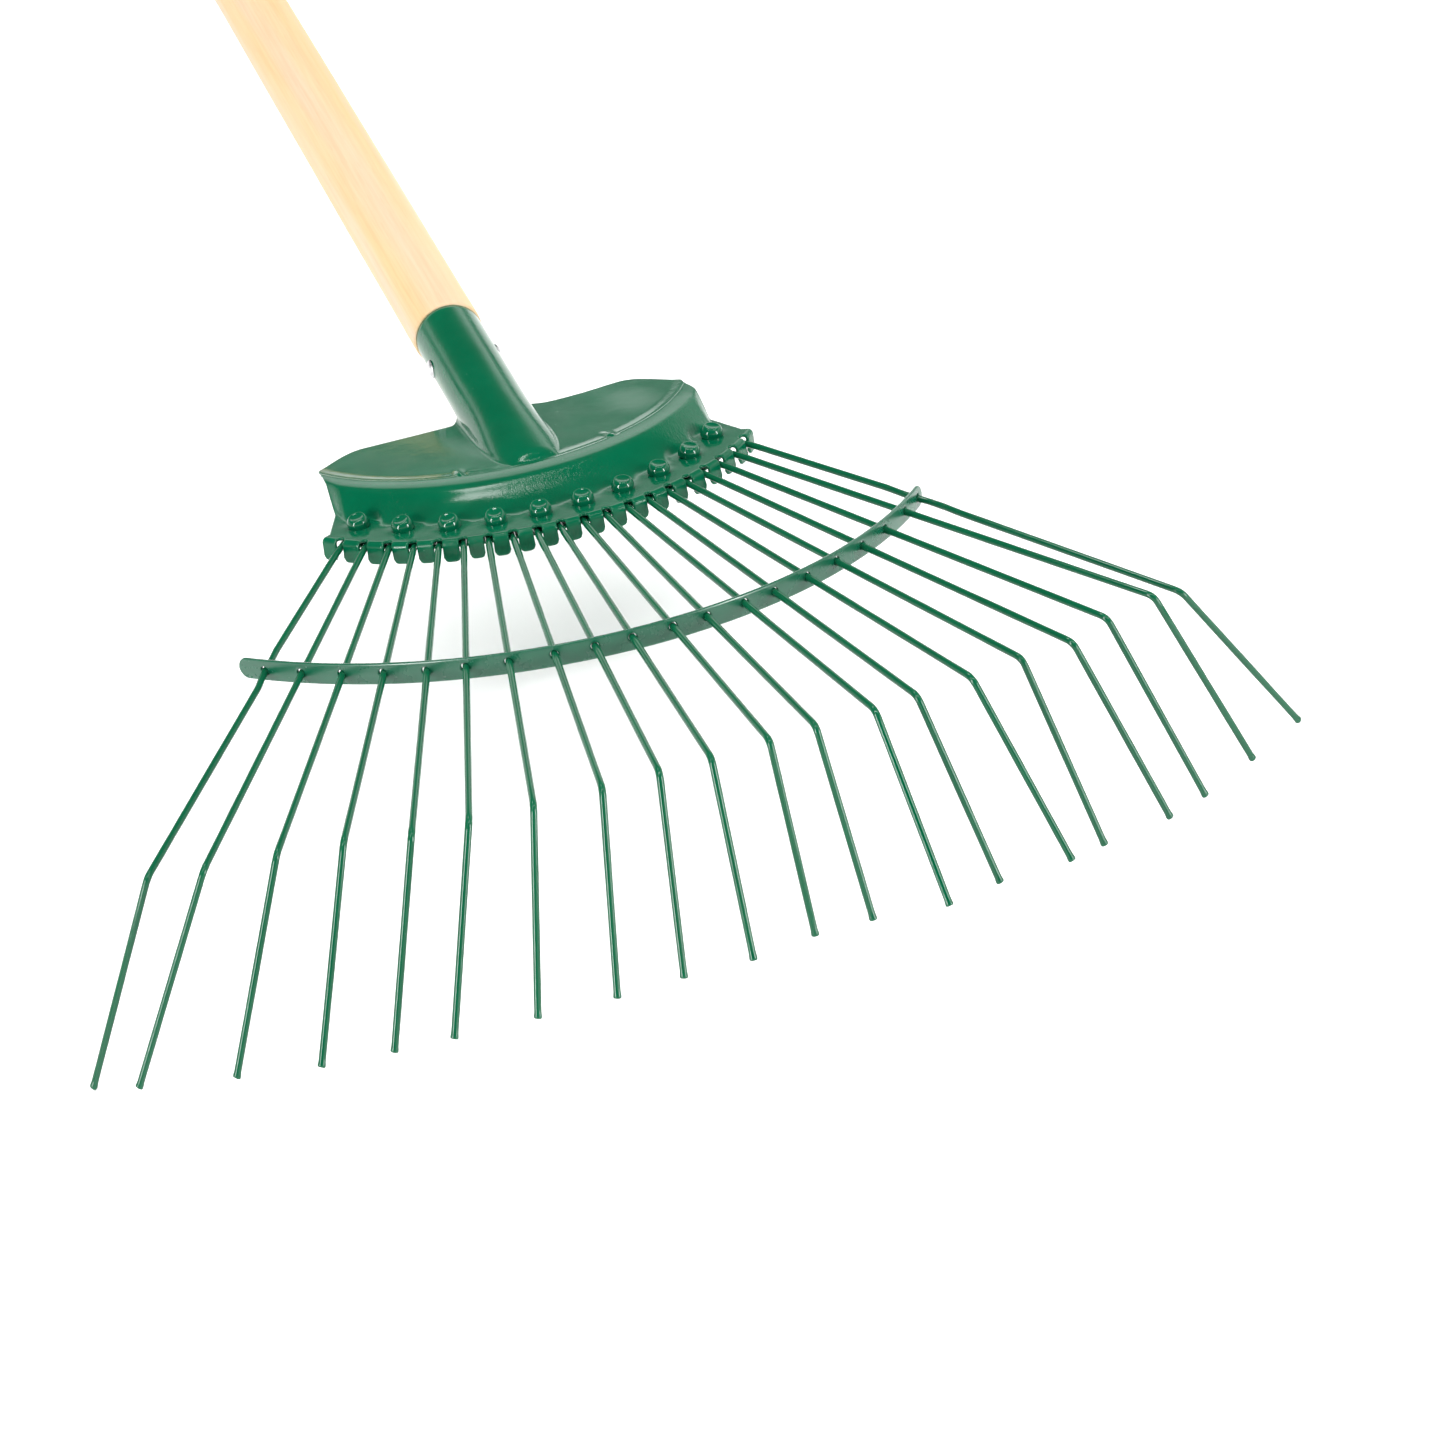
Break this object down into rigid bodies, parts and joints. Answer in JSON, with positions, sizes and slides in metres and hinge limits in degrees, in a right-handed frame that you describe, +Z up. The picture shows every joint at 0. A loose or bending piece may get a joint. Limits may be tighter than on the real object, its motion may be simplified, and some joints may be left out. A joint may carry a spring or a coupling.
{
  "type": "spring-tine lawn rake",
  "caption": "Fan of bent spring-wire tines riveted under a pressed steel head with a rolled socket, joined by a curved spacer bar, on a long round wooden handle.",
  "frame": {"origin": "centre of the bounding box at floor level, with the rake lying on its outer tine tips and the butt of the handle", "axes": "+Y along the handle from the tines to the butt, +Z up, +X to the right when looking from the tines to the handle"},
  "size_m": [0.4462, 1.7242, 0.1112],
  "materials": {
    "wood": "fine sanded, thin clear varnish",
    "head_paint": "gloss green dip paint on pressed steel sheet",
    "wire_paint": "gloss green dip paint on spring wire",
    "steel": "bare steel rivet heads"
  },
  "bodies": {
    "root": {"handle": "wood", "head_plate": "head_paint", "clamp_plate": "head_paint", "spacer_bar": "head_paint", "cross_pin": "steel", "tine_pair_01": "wire_paint", "tine_pair_02": "wire_paint", "tine_pair_03": "wire_paint", "tine_pair_04": "wire_paint", "tine_pair_05": "wire_paint", "tine_pair_06": "wire_paint", "tine_pair_07": "wire_paint", "tine_pair_08": "wire_paint", "tine_pair_09": "wire_paint", "tine_pair_10": "wire_paint", "rivet_01": "head_paint", "rivet_02": "head_paint", "rivet_03": "head_paint", "rivet_04": "head_paint", "rivet_05": "head_paint", "rivet_06": "head_paint", "rivet_07": "head_paint", "rivet_08": "head_paint", "rivet_09": "head_paint", "rivet_10": "head_paint"}
  },
  "joints": []
}
